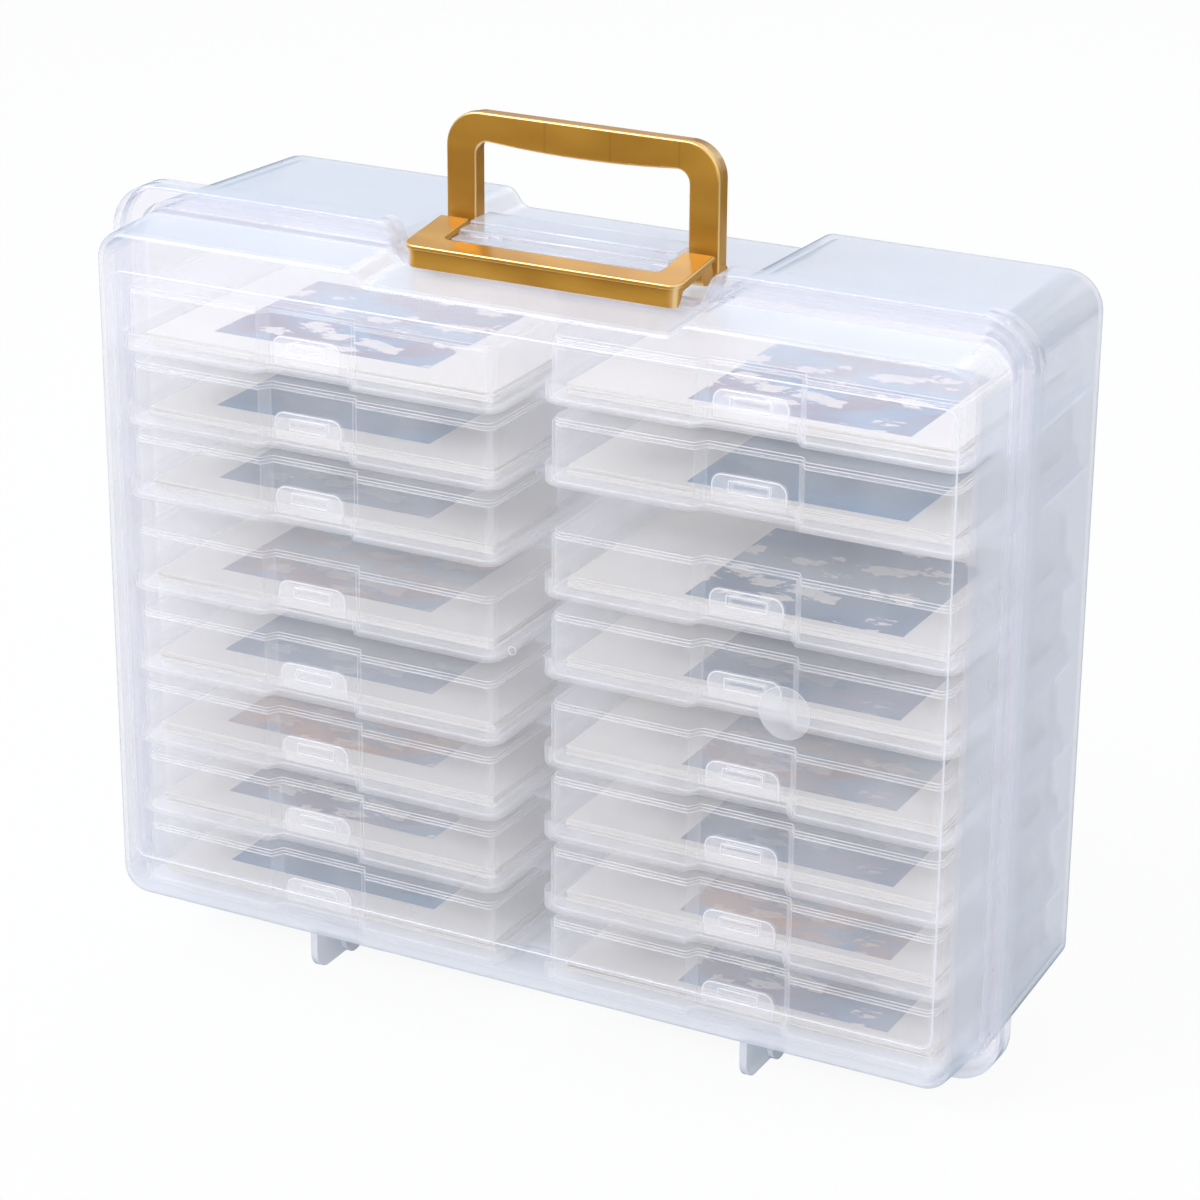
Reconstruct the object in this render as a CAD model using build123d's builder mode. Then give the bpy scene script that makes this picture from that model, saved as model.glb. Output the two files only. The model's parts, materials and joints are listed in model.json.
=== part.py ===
from build123d import *

import os

# Photo keeper case: a two-shell carrying case with sixteen inner photo cases.
# Millimetres. X is the width, +Y runs from the lid to the back, +Z is up. The
# origin is on the ground, under the middle of the closed case.

# --- outer shells -----------------------------------------------------------
DEPTH = 126.0
FRONT_Y = -DEPTH / 2
BACK_Y = DEPTH / 2
PARTING_Y = -31.0
PARTING_GAP = 0.1
WALL = 2.0
FOOT_HEIGHT = 20.0
# how far a rib or leaf sinks into the wall it grows from
BITE = 1.0

BORDER_RAISE = 0.4
BORDER_WIDTH = 1.3
BORDER_INSET = 6.6
BORDER_CORNER = 5.0
BORDER_BOTTOM = FOOT_HEIGHT + 17.0
BORDER_TOP = FOOT_HEIGHT + 261.0
PANEL_Y = FRONT_Y + BORDER_RAISE
LID_EDGE_RADIUS = 3.0

# Each section of a shell has its half width, its bottom and top, the floor of
# the handle recess, and the radii of its lower and upper corners.
LID_FRONT = dict(half=180.0, bottom=20.0, top=296.0, floor=291.0, lower=11.0, upper=12.0)
LID_REAR = dict(half=181.5, bottom=19.4, top=297.5, floor=293.0, lower=9.0, upper=13.0)
BODY_FRONT = dict(half=181.5, bottom=19.4, top=300.5, floor=292.6, lower=6.5, upper=14.0)
BODY_BACK = dict(half=178.2, bottom=21.2, top=298.3, floor=291.0, lower=6.0, upper=15.0)
RECESS_FLOOR_HALF = 62.0
RECESS_MOUTH_HALF = 67.5
RECESS_RADIUS = 6.0
# how much a slanted recess wall moves sideways for each millimetre of inset
RECESS_SHIFT = 0.8
BODY_EDGE_RADIUS = 4.0

# --- rim where the shells meet ----------------------------------------------
RIM = dict(half=189.5, bottom=13.5, top=308.0, floor=294.0, lower=18.0, upper=20.0)
RIM_FRONT_Y = PARTING_Y - 6.5
RIM_BACK_Y = PARTING_Y + 5.6
RIM_WALL = 2.0
RIM_EDGE_RADIUS = 0.8

# --- hinge ------------------------------------------------------------------
HINGE_Y = PARTING_Y
HINGE_Z = 7.5
HINGE_X = 94.5
KNUCKLE_RADIUS = HINGE_Z
LEAF_THICKNESS = 3.0
EAR_THICKNESS = 2.5
EAR_GAP = 0.6
LEAF_FRONT_Y = -55.0
EAR_BACK_Y = PARTING_Y + 20.0
HINGE_PIN_RADIUS = 2.0
RUNNING_CLEARANCE = 0.06
PRESS_CLEARANCE = 0.02
NOTCH_MARGIN = 0.5
NOTCH_TOP = 15.7
REAR_FOOT_Y = (19.0, 57.0)
FOOT_CORNER = 8.0

# --- handle and latch -------------------------------------------------------
PLATFORM_HALF = 43.0
PLATFORM_BACK_Y = -2.0
PLATFORM_STEPS = ((PARTING_Y + PARTING_GAP, 303.4), (-24.5, 305.4), (-16.5, 306.6))
PLATFORM_HOLLOW_HALF = 32.0
LEDGE_FRONT_Y = -38.5
LEDGE_TOP = 300.8
CATCH_BEAD_RADIUS = 1.1
CATCH_BEAD_Z = 298.0

HANDLE_Y = -6.5
HANDLE_PIVOT_Z = 297.5
HANDLE_HALF = 56.5
HANDLE_OPENING_HALF = 44.0
HANDLE_TOP = 346.5
HANDLE_THICKNESS = 8.0
HANDLE_FACE = 3.0
HANDLE_STEP = 0.8
HANDLE_EDGE_RADIUS = 1.0
HANDLE_CORNER = 14.0
HANDLE_INNER_CORNER = 5.0
GRIP_HEIGHT = 11.0
GRIP_SAG = 1.7
HANDLE_LUG_RADIUS = 4.0
HANDLE_PIN_RADIUS = 2.5

LATCH_Y = -18.0
LATCH_Z = 300.5
LATCH_HALF = 57.0
LATCH_ARM_INNER = 44.8
LATCH_FRONT_Y = -42.4
LATCH_BAR_BACK_Y = -34.4
LATCH_REAR_Y = -14.5
LATCH_FRONT_TOP = 302.9
LATCH_REAR_TOP = 306.6
LATCH_PLATE = 2.2
LATCH_CORNER = 4.0
LATCH_INNER_CORNER = 3.0
LATCH_LIP = 2.0
LATCH_LIP_SLANT = 3.0
LATCH_LIP_BOTTOM = 294.0
LATCH_OVERHANG = 1.2
LATCH_BROW = 1.8
LATCH_BROW_RADIUS = 0.8
LATCH_UNDER_RADIUS = 0.5
LATCH_SKIRT = 4.2
LATCH_HOOK_RADIUS = 0.9
LATCH_HOOK_RISE = 1.2
LATCH_LUG_RADIUS = 4.3
LATCH_PIN_RADIUS = 2.0
PIN_INNER_X = 34.0
PIN_OUTER_X = 54.0
PIN_END_PLAY = 0.5
HINGE_PIN_PROUD = 0.4

# --- inner cases ------------------------------------------------------------
CASE_HEIGHT = 25.5
CASE_WIDTH = 166.0
CASE_DEPTH = 118.0
CASE_FRONT_Y = -59.3
CASE_CENTRE_X = 91.6
CASE_CORNER = 8.0
CASE_WALL = 1.2
SKIRT_HEIGHT = 7.8
SKIRT_EDGE_RADIUS = 1.8
SKIRT_RECESS = 4.0
RECESS_HALF = 21.0
RECESS_SLANT = 3.0
RECESS_BEND_RADIUS = 1.0
BOX_INSET = 2.5
BOX_CORNER = 5.5
BOX_RECESS = 4.6
BOX_OPEN_Z = 1.4
BOX_STEP_HEIGHT = 1.4
BOX_STEP_INSET = 1.3
BOX_EDGE_RADIUS = 0.8
TAB_HALF = 15.0
TAB_TOP = 15.8
TAB_CORNER = 4.5
TAB_Y = 4.2
SLOT_HALF = 8.0
SLOT_Z = (9.2, 13.2)
CATCH_MARGIN = 0.6
CATCH_DEPTH = 3.8
CATCH_SETBACK = 2.2
KNUCKLE_X = 52.0
CASE_KNUCKLE_RADIUS = 1.5
CASE_KNUCKLE_LENGTH = 14.0

# heights of the flat tops of the cases above the ground, from the top down
ROW_TOPS_LEFT = (273.3, 243.5, 213.8, 175.5, 141.4, 110.4, 79.8, 49.1)
ROW_TOPS_RIGHT = (282.0, 250.6, 207.0, 174.8, 139.2, 108.8, 78.9, 49.1)

# --- supports inside the rear body ------------------------------------------
SHELF_THICKNESS = 1.4
SHELF_CLEARANCE = 0.35
SHELF_GRIP = 2.2
SHELF_Y = (-26.0, 59.0)
DIVIDER_HALF = 0.9

BACKWARD = (0, 1, 0)


def plane_at(y):
    """A plane square to the depth, at this Y, drawn in X and Z."""
    return Plane.XZ.offset(-y)


def shell_section(y, section, inset=0.0):
    """The outline of a shell at this Y, with the handle recess in its top edge."""
    half = section["half"] - inset
    bottom = section["bottom"] + inset
    top = section["top"] - inset
    floor = section["floor"] - inset
    mouth = RECESS_MOUTH_HALF + RECESS_SHIFT * inset
    foot = RECESS_FLOOR_HALF + RECESS_SHIFT * inset
    with BuildSketch(plane_at(y), mode=Mode.PRIVATE) as outline:
        with BuildLine():
            Polyline(
                (-half, bottom),
                (half, bottom),
                (half, top),
                (mouth, top),
                (foot, floor),
                (-foot, floor),
                (-mouth, top),
                (-half, top),
                close=True,
            )
        make_face()
        # in the plane of this outline, Y is the height
        for radius, is_corner in (
            (section["lower"] - inset, lambda v: abs(v.X) > half - 1 and v.Y < bottom + 1),
            (section["upper"] - inset, lambda v: abs(v.X) > half - 1 and v.Y > top - 1),
            (RECESS_RADIUS, lambda v: abs(v.X) < mouth + 1),
        ):
            fillet(outline.vertices().filter_by(is_corner), radius)
    return outline.sketch


def save(part, name):
    """Label a finished piece and write its file."""
    part.label = name
    export_step(part, f"parts/{name}.step")


os.makedirs("parts", exist_ok=True)

# --- rear body --------------------------------------------------------------
body_start = PARTING_Y + PARTING_GAP
with BuildPart() as rear_body:
    # rim: a flat flange with an outer lip that meets the lid
    extrude(shell_section(body_start, RIM), amount=RIM_BACK_Y - body_start, dir=BACKWARD)
    fillet(rear_body.faces().sort_by(Axis.Y)[-1].outer_wire().edges(), RIM_EDGE_RADIUS)
    extrude(
        shell_section(body_start, RIM, RIM_WALL),
        amount=RIM_BACK_Y - RIM_WALL - body_start,
        dir=BACKWARD,
        mode=Mode.SUBTRACT,
    )

with BuildPart() as body_shell:
    loft([shell_section(body_start, BODY_FRONT), shell_section(BACK_Y, BODY_BACK)], ruled=True)
    fillet(body_shell.faces().sort_by(Axis.Y)[-1].edges(), BODY_EDGE_RADIUS)

with BuildPart() as body_cavity:
    loft(
        [shell_section(body_start, BODY_FRONT, WALL), shell_section(BACK_Y - WALL, BODY_BACK, WALL)],
        ruled=True,
    )

with rear_body:
    add(body_shell.part)
    # raised platform between the handle feet, stepped towards the lid
    platform_bottom = BODY_FRONT["floor"] - BITE
    for start_y, top_z in PLATFORM_STEPS:
        with BuildSketch(Plane.YZ.offset(-PLATFORM_HALF)):
            with Locations(((start_y + PLATFORM_BACK_Y) / 2, (top_z + platform_bottom) / 2)):
                Rectangle(PLATFORM_BACK_Y - start_y, top_z - platform_bottom)
        extrude(amount=2 * PLATFORM_HALF)
    add(body_cavity.part, mode=Mode.SUBTRACT)

    # the platform is hollow from inside, and solid where the pins run
    hollow_top = PLATFORM_STEPS[-1][1] - WALL
    hollow_bottom = BODY_BACK["floor"] - 2 * WALL
    with BuildSketch(Plane.YZ.offset(-PLATFORM_HOLLOW_HALF)):
        with Locations(((PLATFORM_STEPS[-1][0] + PLATFORM_BACK_Y) / 2, (hollow_top + hollow_bottom) / 2)):
            Rectangle(PLATFORM_BACK_Y - PLATFORM_STEPS[-1][0] - 2 * WALL, hollow_top - hollow_bottom)
    extrude(amount=2 * PLATFORM_HOLLOW_HALF, mode=Mode.SUBTRACT)

    # divider between the two columns
    with BuildSketch(Plane.YZ.offset(-DIVIDER_HALF)):
        with BuildLine():
            Polyline(
                (SHELF_Y[0], BODY_FRONT["bottom"] + BITE),
                (BACK_Y - BITE, BODY_BACK["bottom"] + BITE),
                (BACK_Y - BITE, BODY_BACK["floor"] - BITE),
                (SHELF_Y[0], BODY_BACK["floor"] - BITE),
                close=True,
            )
        make_face()
    extrude(amount=2 * DIVIDER_HALF)

    # shelves under the inner cases
    inner_edge = CASE_CENTRE_X - CASE_WIDTH / 2 + SHELF_GRIP
    outer_edge = CASE_CENTRE_X + CASE_WIDTH / 2 - SHELF_GRIP
    for side, row_tops in ((-1, ROW_TOPS_LEFT), (1, ROW_TOPS_RIGHT)):
        for row_top in row_tops[:-1]:
            shelf_z = row_top - CASE_HEIGHT - SHELF_CLEARANCE - SHELF_THICKNESS
            with BuildSketch(Plane.XY.offset(shelf_z)):
                with BuildLine():
                    Polyline(
                        (0, SHELF_Y[0]),
                        (side * inner_edge, SHELF_Y[0]),
                        (side * inner_edge, SHELF_Y[1]),
                        (0, SHELF_Y[1]),
                        close=True,
                    )
                make_face()
                with BuildLine():
                    Polyline(
                        (side * outer_edge, SHELF_Y[0]),
                        (side * (BODY_FRONT["half"] - BITE), SHELF_Y[0]),
                        (side * (BODY_BACK["half"] - BITE), SHELF_Y[1]),
                        (side * outer_edge, SHELF_Y[1]),
                        close=True,
                    )
                make_face()
            extrude(amount=SHELF_THICKNESS)

    # hinge ears under the rim, and a foot under the back
    for side in (-1, 1):
        for offset in (-1, 1):
            centre = side * HINGE_X + offset * (LEAF_THICKNESS / 2 + EAR_GAP + EAR_THICKNESS / 2)
            with BuildSketch(Plane.YZ.offset(centre - EAR_THICKNESS / 2)):
                with Locations((HINGE_Y, HINGE_Z)):
                    Circle(KNUCKLE_RADIUS)
                with BuildLine():
                    Polyline(
                        (HINGE_Y + 0.2, HINGE_Z),
                        (HINGE_Y + KNUCKLE_RADIUS, HINGE_Z),
                        (EAR_BACK_Y, BODY_FRONT["bottom"] - 0.5),
                        (EAR_BACK_Y, BODY_FRONT["bottom"] + 1.2),
                        (HINGE_Y + 0.2, BODY_FRONT["bottom"] + 1.2),
                        close=True,
                    )
                make_face()
                with Locations((HINGE_Y, HINGE_Z)):
                    Circle(HINGE_PIN_RADIUS + PRESS_CLEARANCE, mode=Mode.SUBTRACT)
            extrude(amount=EAR_THICKNESS)
        with BuildSketch(Plane.YZ.offset(side * HINGE_X - LEAF_THICKNESS / 2)):
            with BuildLine():
                Polyline(
                    (REAR_FOOT_Y[0], 0),
                    (REAR_FOOT_Y[1], 0),
                    (REAR_FOOT_Y[1], BODY_BACK["bottom"] + BITE),
                    (REAR_FOOT_Y[0], BODY_BACK["bottom"] + BITE),
                    close=True,
                )
            make_face()
            fillet(vertices().group_by(Axis.Y)[0], FOOT_CORNER)
        extrude(amount=LEAF_THICKNESS)
        # room for the lid's leaf to swing
        with Locations((side * HINGE_X, (PARTING_Y + RIM_BACK_Y) / 2, RIM["bottom"])):
            Box(
                LEAF_THICKNESS + 2 * NOTCH_MARGIN,
                RIM_BACK_Y - PARTING_Y + 1,
                2 * (NOTCH_TOP - RIM["bottom"]),
                mode=Mode.SUBTRACT,
            )

    # bores for the handle pins and the latch pins
    for pivot_y, pivot_z, radius in (
        (HANDLE_Y, HANDLE_PIVOT_Z, HANDLE_PIN_RADIUS),
        (LATCH_Y, LATCH_Z, LATCH_PIN_RADIUS),
    ):
        for side in (-1, 1):
            with BuildSketch(Plane.YZ.offset(side * PIN_INNER_X)):
                with Locations((pivot_y, pivot_z)):
                    Circle(radius + PRESS_CLEARANCE)
            extrude(amount=side * (PLATFORM_HALF - PIN_INNER_X + BITE), mode=Mode.SUBTRACT)
save(rear_body.part, "rear_body")

# --- front lid --------------------------------------------------------------
lid_end = PARTING_Y - PARTING_GAP
with BuildPart() as lid_shell:
    loft([shell_section(PANEL_Y, LID_FRONT), shell_section(lid_end, LID_REAR)], ruled=True)
    fillet(lid_shell.faces().sort_by(Axis.Y)[0].edges(), LID_EDGE_RADIUS)

with BuildPart() as lid_cavity:
    loft(
        [shell_section(PANEL_Y + WALL, LID_FRONT, WALL), shell_section(lid_end, LID_REAR, WALL)],
        ruled=True,
    )

with BuildPart() as front_lid:
    extrude(shell_section(RIM_FRONT_Y, RIM), amount=lid_end - RIM_FRONT_Y, dir=BACKWARD)
    fillet(front_lid.faces().sort_by(Axis.Y)[0].outer_wire().edges(), RIM_EDGE_RADIUS)
    extrude(
        shell_section(RIM_FRONT_Y + RIM_WALL, RIM, RIM_WALL),
        amount=lid_end - RIM_FRONT_Y - RIM_WALL,
        dir=BACKWARD,
        mode=Mode.SUBTRACT,
    )
    add(lid_shell.part)

    # latch ledge with the bead that the latch snaps over
    ledge_bottom = LID_REAR["floor"] - BITE
    with BuildSketch(Plane.YZ.offset(-PLATFORM_HALF)):
        with Locations(((LEDGE_FRONT_Y + lid_end) / 2, (LEDGE_TOP + ledge_bottom) / 2)):
            Rectangle(lid_end - LEDGE_FRONT_Y, LEDGE_TOP - ledge_bottom)
        with Locations((LEDGE_FRONT_Y, CATCH_BEAD_Z)):
            Circle(CATCH_BEAD_RADIUS)
    extrude(amount=2 * PLATFORM_HALF)
    add(lid_cavity.part, mode=Mode.SUBTRACT)

    # raised border line on the front panel
    border_half = LID_FRONT["half"] - BORDER_INSET
    border_middle = (BORDER_BOTTOM + BORDER_TOP) / 2
    border_height = BORDER_TOP - BORDER_BOTTOM
    with BuildSketch(plane_at(PANEL_Y)):
        with Locations((0, border_middle)):
            RectangleRounded(2 * border_half, border_height, BORDER_CORNER)
            RectangleRounded(
                2 * (border_half - BORDER_WIDTH),
                border_height - 2 * BORDER_WIDTH,
                BORDER_CORNER - BORDER_WIDTH,
                mode=Mode.SUBTRACT,
            )
    extrude(amount=BORDER_RAISE)

    for side in (-1, 1):
        # hinge leaf, which is also the front foot
        with BuildSketch(Plane.YZ.offset(side * HINGE_X - LEAF_THICKNESS / 2)):
            with BuildLine():
                Polyline(
                    (LEAF_FRONT_Y, LID_FRONT["bottom"] + 0.8),
                    (LEAF_FRONT_Y, 0),
                    (HINGE_Y, 0),
                    (HINGE_Y, HINGE_Z),
                    (lid_end, HINGE_Z),
                    (lid_end, LID_REAR["bottom"] + 0.8),
                    close=True,
                )
            make_face()
            front_corner = vertices().group_by(Axis.Y)[0].sort_by(Axis.X)[0]
            fillet(front_corner, FOOT_CORNER)
            with Locations((HINGE_Y, HINGE_Z)):
                Circle(KNUCKLE_RADIUS)
                Circle(HINGE_PIN_RADIUS + RUNNING_CLEARANCE, mode=Mode.SUBTRACT)
        extrude(amount=LEAF_THICKNESS)
        # room for the ears of the body to swing
        for offset in (-1, 1):
            centre = side * HINGE_X + offset * (LEAF_THICKNESS / 2 + EAR_GAP + EAR_THICKNESS / 2)
            with Locations((centre, (RIM_FRONT_Y + PARTING_Y) / 2, RIM["bottom"])):
                Box(
                    EAR_THICKNESS + 2 * NOTCH_MARGIN,
                    PARTING_Y - RIM_FRONT_Y + 1,
                    2 * (NOTCH_TOP - RIM["bottom"]),
                    mode=Mode.SUBTRACT,
                )
save(front_lid.part, "front_lid")

# --- carrying handle --------------------------------------------------------
handle_front = HANDLE_Y - HANDLE_THICKNESS / 2


def bail_outline(y, inset):
    """The handle seen from the front, down to its pivots."""
    half = HANDLE_HALF - inset
    opening = HANDLE_OPENING_HALF + inset
    grip = HANDLE_TOP - GRIP_HEIGHT + inset
    arc_start = grip - HANDLE_INNER_CORNER
    with BuildSketch(plane_at(y), mode=Mode.PRIVATE) as outline:
        with BuildLine():
            FilletPolyline(
                (-half, HANDLE_PIVOT_Z),
                (-half, HANDLE_TOP - inset),
                (half, HANDLE_TOP - inset),
                (half, HANDLE_PIVOT_Z),
                radius=HANDLE_CORNER - inset,
            )
            for side in (-1, 1):
                Line((side * half, HANDLE_PIVOT_Z), (side * opening, HANDLE_PIVOT_Z))
                Line((side * opening, HANDLE_PIVOT_Z), (side * opening, arc_start))
                JernArc((side * opening, arc_start), (0, 1), HANDLE_INNER_CORNER, side * 90)
            ThreePointArc(
                (opening - HANDLE_INNER_CORNER, grip),
                (0, grip - GRIP_SAG),
                (HANDLE_INNER_CORNER - opening, grip),
            )
        make_face()
    return outline.sketch


with BuildPart() as carry_handle:
    extrude(bail_outline(handle_front, 0), amount=HANDLE_FACE, dir=BACKWARD)
    fillet(carry_handle.faces().sort_by(Axis.Y)[0].edges(), HANDLE_EDGE_RADIUS)
    extrude(
        bail_outline(handle_front + HANDLE_FACE, HANDLE_STEP),
        amount=HANDLE_THICKNESS - HANDLE_FACE,
        dir=BACKWARD,
    )
    for side in (-1, 1):
        with BuildSketch(Plane.YZ.offset(side * (HANDLE_OPENING_HALF + HANDLE_STEP))):
            with Locations((HANDLE_Y, HANDLE_PIVOT_Z)):
                Circle(HANDLE_LUG_RADIUS)
        extrude(amount=side * (HANDLE_HALF - HANDLE_OPENING_HALF - HANDLE_STEP))
        with BuildSketch(Plane.YZ.offset(side * (HANDLE_OPENING_HALF - 1))):
            with Locations((HANDLE_Y, HANDLE_PIVOT_Z)):
                Circle(HANDLE_PIN_RADIUS + RUNNING_CLEARANCE)
        extrude(amount=side * (PIN_OUTER_X + PIN_END_PLAY - HANDLE_OPENING_HALF + 1), mode=Mode.SUBTRACT)
save(carry_handle.part, "carry_handle")

# --- latch frame ------------------------------------------------------------
latch_slope = (LATCH_REAR_TOP - LATCH_FRONT_TOP) / (LATCH_REAR_Y - LATCH_FRONT_Y)


def latch_top(y):
    """Height of the latch's sloping top at this Y."""
    return LATCH_FRONT_TOP + latch_slope * (y - LATCH_FRONT_Y)


brow_front_y = LATCH_FRONT_Y - LATCH_OVERHANG
lip_half = LATCH_HALF - LATCH_OVERHANG
lip_top_y = LATCH_FRONT_Y + LATCH_LIP + LATCH_LIP_SLANT
past_rear_y = LATCH_REAR_Y + 10
arm_hollow_y = LATCH_REAR_Y - 8

with BuildPart() as latch_plate:
    # a sloping plate with a rounded edge, which stands out over the lip below it
    with BuildSketch(Plane.YZ.offset(-LATCH_HALF)):
        with BuildLine():
            Polyline(
                (brow_front_y, latch_top(brow_front_y) - LATCH_BROW),
                (brow_front_y, latch_top(brow_front_y)),
                (LATCH_REAR_Y, latch_top(LATCH_REAR_Y)),
                (LATCH_REAR_Y, latch_top(LATCH_REAR_Y) - LATCH_BROW),
                close=True,
            )
        make_face()
    extrude(amount=2 * LATCH_HALF)
    front_corners = latch_plate.edges().filter_by(Axis.Z).filter_by(
        lambda edge: edge.center().Y < brow_front_y + 0.1
    )
    fillet(front_corners, LATCH_CORNER + LATCH_OVERHANG)
    for upward, radius in ((1, LATCH_BROW_RADIUS), (-1, LATCH_UNDER_RADIUS)):
        broad_face = latch_plate.faces().filter_by(lambda face: upward * face.normal_at().Z > 0.9)
        fillet(broad_face.edges().filter_by(lambda edge: edge.center().Y < LATCH_REAR_Y - 0.1), radius)

with BuildPart() as latch_frame:
    # a sloping block, hollowed below into a lip all round
    with BuildSketch(Plane.YZ.offset(-lip_half)):
        with BuildLine():
            Polyline(
                (LATCH_FRONT_Y, LATCH_LIP_BOTTOM),
                (LATCH_FRONT_Y, latch_top(LATCH_FRONT_Y) - LATCH_BROW / 2),
                (LATCH_REAR_Y, latch_top(LATCH_REAR_Y) - LATCH_BROW / 2),
                (LATCH_REAR_Y, latch_top(LATCH_REAR_Y) - LATCH_SKIRT),
                (lip_top_y, latch_top(lip_top_y) - LATCH_SKIRT),
                (LATCH_FRONT_Y + LATCH_LIP, LATCH_LIP_BOTTOM),
                close=True,
            )
        make_face()
    extrude(amount=2 * lip_half)
    corners = latch_frame.edges().filter_by(Axis.Z).filter_by(
        lambda edge: abs(edge.center().X) > lip_half - 0.1 and edge.center().Y < LATCH_FRONT_Y + 0.1
    )
    fillet(corners, LATCH_CORNER)
    add(latch_plate.part)
    # the opening that fits round the platform
    with BuildSketch(Plane.XY.offset(LATCH_LIP_BOTTOM - 1)):
        with BuildLine():
            FilletPolyline(
                (-LATCH_ARM_INNER, past_rear_y),
                (-LATCH_ARM_INNER, LATCH_BAR_BACK_Y),
                (LATCH_ARM_INNER, LATCH_BAR_BACK_Y),
                (LATCH_ARM_INNER, past_rear_y),
                radius=LATCH_INNER_CORNER,
            )
            Line((-LATCH_ARM_INNER, past_rear_y), (LATCH_ARM_INNER, past_rear_y))
        make_face()
    extrude(amount=30, mode=Mode.SUBTRACT)
    # underside of the front bar and of the arms
    with BuildSketch(Plane.YZ.offset(-(lip_half - LATCH_LIP))):
        with BuildLine():
            Polyline(
                (LATCH_FRONT_Y + LATCH_LIP, LATCH_LIP_BOTTOM - 1),
                (LATCH_FRONT_Y + LATCH_LIP, latch_top(LATCH_FRONT_Y + LATCH_LIP) - LATCH_PLATE),
                (arm_hollow_y, latch_top(arm_hollow_y) - LATCH_PLATE),
                (arm_hollow_y, LATCH_LIP_BOTTOM - 1),
                close=True,
            )
        make_face()
    extrude(amount=2 * (lip_half - LATCH_LIP), mode=Mode.SUBTRACT)
    # pivot lugs
    for side in (-1, 1):
        with BuildSketch(Plane.YZ.offset(side * LATCH_ARM_INNER)):
            with Locations((LATCH_Y, LATCH_Z)):
                Circle(LATCH_LUG_RADIUS)
            with Locations((LATCH_Y, (LATCH_Z + latch_top(LATCH_Y) - 1) / 2)):
                Rectangle(2 * LATCH_LUG_RADIUS - 2, latch_top(LATCH_Y) - 1 - LATCH_Z)
        extrude(amount=side * (lip_half - LATCH_ARM_INNER))
        with BuildSketch(Plane.YZ.offset(side * (LATCH_ARM_INNER - 1))):
            with Locations((LATCH_Y, LATCH_Z)):
                Circle(LATCH_PIN_RADIUS + RUNNING_CLEARANCE)
        extrude(amount=side * (PIN_OUTER_X + PIN_END_PLAY - LATCH_ARM_INNER + 1), mode=Mode.SUBTRACT)
    # hook inside the lip, under the bead
    with BuildSketch(Plane.YZ.offset(-(LATCH_ARM_INNER - LATCH_INNER_CORNER))):
        with Locations((LATCH_FRONT_Y + LATCH_LIP, LATCH_LIP_BOTTOM + LATCH_HOOK_RISE)):
            Circle(LATCH_HOOK_RADIUS)
    extrude(amount=2 * (LATCH_ARM_INNER - LATCH_INNER_CORNER))
save(latch_frame.part, "latch_frame")

# --- pins -------------------------------------------------------------------
for side, side_name in ((-1, "left"), (1, "right")):
    for name, pivot_y, pivot_z, radius in (
        (f"handle_pin_{side_name}", HANDLE_Y, HANDLE_PIVOT_Z, HANDLE_PIN_RADIUS),
        (f"latch_pin_{side_name}", LATCH_Y, LATCH_Z, LATCH_PIN_RADIUS),
    ):
        with BuildPart() as pin:
            with BuildSketch(Plane.YZ.offset(side * PIN_INNER_X)):
                with Locations((pivot_y, pivot_z)):
                    Circle(radius)
            extrude(amount=side * (PIN_OUTER_X - PIN_INNER_X))
        save(pin.part, name)
    with BuildPart() as hinge_pin:
        pin_half = LEAF_THICKNESS / 2 + EAR_GAP + EAR_THICKNESS + HINGE_PIN_PROUD
        with BuildSketch(Plane.YZ.offset(side * HINGE_X - pin_half)):
            with Locations((HINGE_Y, HINGE_Z)):
                Circle(HINGE_PIN_RADIUS)
        extrude(amount=2 * pin_half)
    save(hinge_pin.part, f"hinge_pin_{side_name}")


# --- inner cases ------------------------------------------------------------
def case_outline(z, width, front, back, corner, recess, inset=0.0):
    """A rounded tray outline at this height, stepped back in the middle of its front."""
    half = width / 2 - inset
    front = front + inset
    back = back - inset
    mouth = RECESS_HALF + inset / 2
    with BuildSketch(Plane.XY.offset(z), mode=Mode.PRIVATE) as outline:
        with BuildLine():
            Polyline(
                (-half, front),
                (-mouth, front),
                (RECESS_SLANT - mouth, front + recess),
                (mouth - RECESS_SLANT, front + recess),
                (mouth, front),
                (half, front),
                (half, back),
                (-half, back),
                close=True,
            )
        make_face()
        fillet(outline.vertices().filter_by(lambda v: abs(v.X) > half - 1), corner - inset)
        fillet(outline.vertices().filter_by(lambda v: abs(v.X) < mouth + 1), RECESS_BEND_RADIUS)
    return outline.sketch


skirt_shape = dict(
    width=CASE_WIDTH, front=0, back=CASE_DEPTH, corner=CASE_CORNER,
    recess=SKIRT_RECESS,
)
box_shape = dict(
    width=CASE_WIDTH - 2 * BOX_INSET, front=BOX_INSET, back=CASE_DEPTH - BOX_INSET,
    corner=BOX_CORNER, recess=BOX_RECESS,
)


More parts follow.
